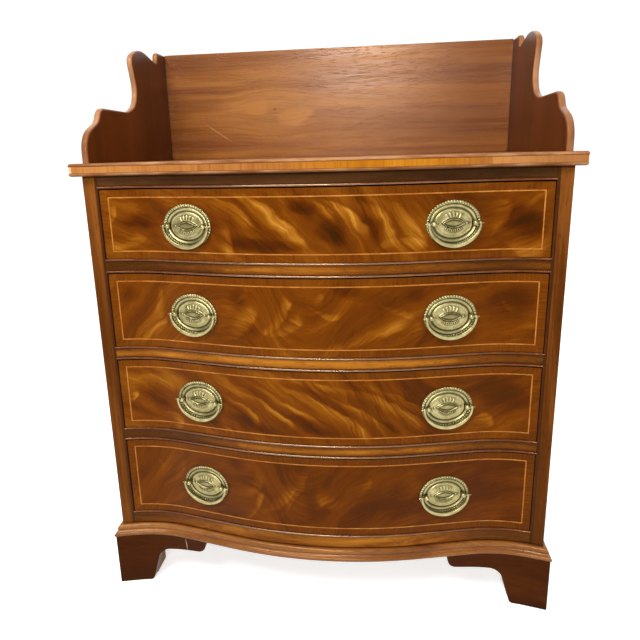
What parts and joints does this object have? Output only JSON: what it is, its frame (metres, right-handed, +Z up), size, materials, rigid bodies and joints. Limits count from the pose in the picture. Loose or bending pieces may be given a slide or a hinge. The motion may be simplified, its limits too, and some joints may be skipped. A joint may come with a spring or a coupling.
{
  "type": "serpentine chest of drawers",
  "caption": "Mahogany chest with a serpentine front, graduated drawers, oval brass bail handles, bracket feet and a shaped three-sided gallery on its top.",
  "frame": {"origin": "on the floor, under the middle of the bounding box", "axes": "+X to the chest's right as seen from the front, -Y towards the front, +Z up"},
  "size_m": [0.772, 0.433, 0.981],
  "materials": {
    "flame_mahogany": "polished",
    "mahogany": "polished",
    "dark_mahogany": "polished",
    "satinwood": "polished",
    "crossband": "polished",
    "drawer_lining": "planed",
    "secondary_wood": "planed",
    "brass": "polished"
  },
  "bodies": {
    "carcase": {"back_panel": "secondary_wood", "base_moulding": "mahogany", "bottom_board": "secondary_wood", "bottom_rail": "mahogany", "corner_post_left": "mahogany", "corner_post_right": "mahogany", "drawer_rails": "mahogany", "drawer_runners": "secondary_wood", "drawer_stops": "secondary_wood", "dust_boards": "secondary_wood", "foot_blocks": "secondary_wood", "front_left_foot": "dark_mahogany", "front_right_foot": "dark_mahogany", "gallery_back": "mahogany", "gallery_left_end": "mahogany", "gallery_right_end": "mahogany", "opening_beads": "mahogany", "rear_left_foot": "dark_mahogany", "rear_right_foot": "dark_mahogany", "side_left": "mahogany", "side_right": "mahogany", "top_board": "mahogany", "top_edge_band": "crossband", "top_rail": "mahogany"},
    "drawer_1": {"drawer_1_back": "drawer_lining", "drawer_1_bottom": "drawer_lining", "drawer_1_front": "flame_mahogany", "drawer_1_inlay": "satinwood", "drawer_1_plates": "brass", "drawer_1_posts": "brass", "drawer_1_sides": "drawer_lining"},
    "drawer_1_bail_left": {"drawer_1_bail_left": "brass"},
    "drawer_1_bail_right": {"drawer_1_bail_right": "brass"},
    "drawer_2": {"drawer_2_back": "drawer_lining", "drawer_2_bottom": "drawer_lining", "drawer_2_front": "flame_mahogany", "drawer_2_inlay": "satinwood", "drawer_2_plates": "brass", "drawer_2_posts": "brass", "drawer_2_sides": "drawer_lining"},
    "drawer_2_bail_left": {"drawer_2_bail_left": "brass"},
    "drawer_2_bail_right": {"drawer_2_bail_right": "brass"},
    "drawer_3": {"drawer_3_back": "drawer_lining", "drawer_3_bottom": "drawer_lining", "drawer_3_front": "flame_mahogany", "drawer_3_inlay": "satinwood", "drawer_3_plates": "brass", "drawer_3_posts": "brass", "drawer_3_sides": "drawer_lining"},
    "drawer_3_bail_left": {"drawer_3_bail_left": "brass"},
    "drawer_3_bail_right": {"drawer_3_bail_right": "brass"},
    "drawer_4": {"drawer_4_back": "drawer_lining", "drawer_4_bottom": "drawer_lining", "drawer_4_front": "flame_mahogany", "drawer_4_inlay": "satinwood", "drawer_4_plates": "brass", "drawer_4_posts": "brass", "drawer_4_sides": "drawer_lining"},
    "drawer_4_bail_left": {"drawer_4_bail_left": "brass"},
    "drawer_4_bail_right": {"drawer_4_bail_right": "brass"}
  },
  "joints": [
    {"name": "drawer_1_slide", "type": "slide", "parent": "carcase", "child": "drawer_1", "axis": [0, -1, 0], "range_m": [0, 0.28]},
    {"name": "drawer_1_bail_left_swing", "type": "hinge", "parent": "drawer_1", "child": "drawer_1_bail_left", "pos_m": [-0.20633, -0.18245, 0.6663], "axis": [-0.9763, 0.2164, 0], "range_deg": [0, 95]},
    {"name": "drawer_1_bail_right_swing", "type": "hinge", "parent": "drawer_1", "child": "drawer_1_bail_right", "pos_m": [0.20633, -0.18245, 0.6663], "axis": [-0.9763, -0.2164, 0], "range_deg": [0, 95]},
    {"name": "drawer_2_slide", "type": "slide", "parent": "carcase", "child": "drawer_2", "axis": [0, -1, 0], "range_m": [0, 0.28]},
    {"name": "drawer_2_bail_left_swing", "type": "hinge", "parent": "drawer_2", "child": "drawer_2_bail_left", "pos_m": [-0.20633, -0.18245, 0.5219], "axis": [-0.9763, 0.2164, 0], "range_deg": [0, 95]},
    {"name": "drawer_2_bail_right_swing", "type": "hinge", "parent": "drawer_2", "child": "drawer_2_bail_right", "pos_m": [0.20633, -0.18245, 0.5219], "axis": [-0.9763, -0.2164, 0], "range_deg": [0, 95]},
    {"name": "drawer_3_slide", "type": "slide", "parent": "carcase", "child": "drawer_3", "axis": [0, -1, 0], "range_m": [0, 0.28]},
    {"name": "drawer_3_bail_left_swing", "type": "hinge", "parent": "drawer_3", "child": "drawer_3_bail_left", "pos_m": [-0.20633, -0.18245, 0.3705], "axis": [-0.9763, 0.2164, 0], "range_deg": [0, 95]},
    {"name": "drawer_3_bail_right_swing", "type": "hinge", "parent": "drawer_3", "child": "drawer_3_bail_right", "pos_m": [0.20633, -0.18245, 0.3705], "axis": [-0.9763, -0.2164, 0], "range_deg": [0, 95]},
    {"name": "drawer_4_slide", "type": "slide", "parent": "carcase", "child": "drawer_4", "axis": [0, -1, 0], "range_m": [0, 0.28]},
    {"name": "drawer_4_bail_left_swing", "type": "hinge", "parent": "drawer_4", "child": "drawer_4_bail_left", "pos_m": [-0.20633, -0.18245, 0.2111], "axis": [-0.9763, 0.2164, 0], "range_deg": [0, 95]},
    {"name": "drawer_4_bail_right_swing", "type": "hinge", "parent": "drawer_4", "child": "drawer_4_bail_right", "pos_m": [0.20633, -0.18245, 0.2111], "axis": [-0.9763, -0.2164, 0], "range_deg": [0, 95]}
  ]
}
